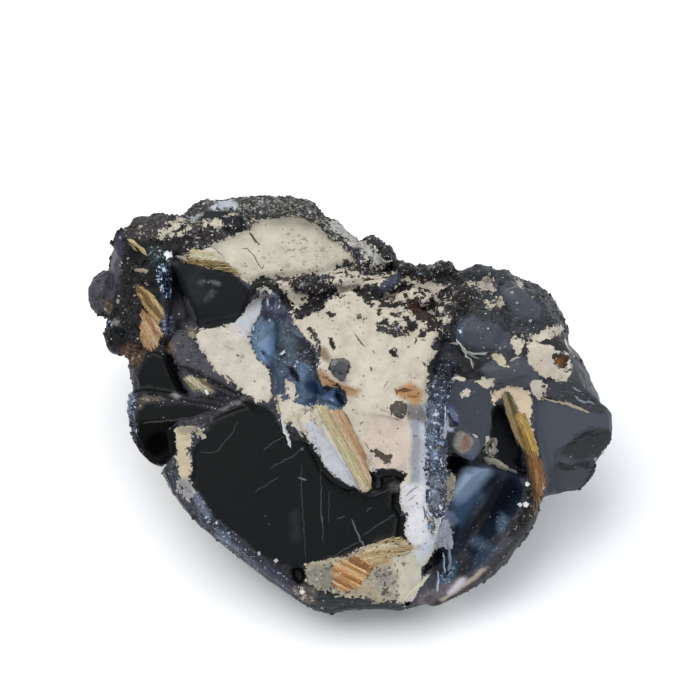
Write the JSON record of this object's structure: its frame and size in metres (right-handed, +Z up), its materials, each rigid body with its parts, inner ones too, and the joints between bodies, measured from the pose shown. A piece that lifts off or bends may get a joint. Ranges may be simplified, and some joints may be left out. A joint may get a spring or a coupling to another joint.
{
  "type": "rutile on hematite specimen",
  "caption": "Hand-sized mineral specimen of black intergrown hematite plates with cream clay matrix and golden rutile sprays, flat underneath.",
  "frame": {"origin": "centre of the bounding box's footprint, on the surface that the specimen rests on", "axes": "+Z up as the specimen rests; the display side faces -Y and up, and +X is to its right and the longest extent"},
  "size_m": [0.0526, 0.0432, 0.0224],
  "materials": {
    "hematite": "metallic black, smooth and bright on crystal faces, crumbly along the rim",
    "clay": "matt cream clay with dark specks",
    "rutile": "silky golden to brown parallel needles"
  },
  "bodies": {
    "root": {"hematite": "hematite", "clay_upper": "clay", "clay_left": "clay", "clay_centre": "clay", "clay_right": "clay", "clay_side": "clay", "rutile_left": "rutile", "rutile_upper": "rutile", "rutile_centre": "rutile", "rutile_foot": "rutile", "rutile_right": "rutile", "rutile_wedge": "rutile"}
  },
  "joints": []
}
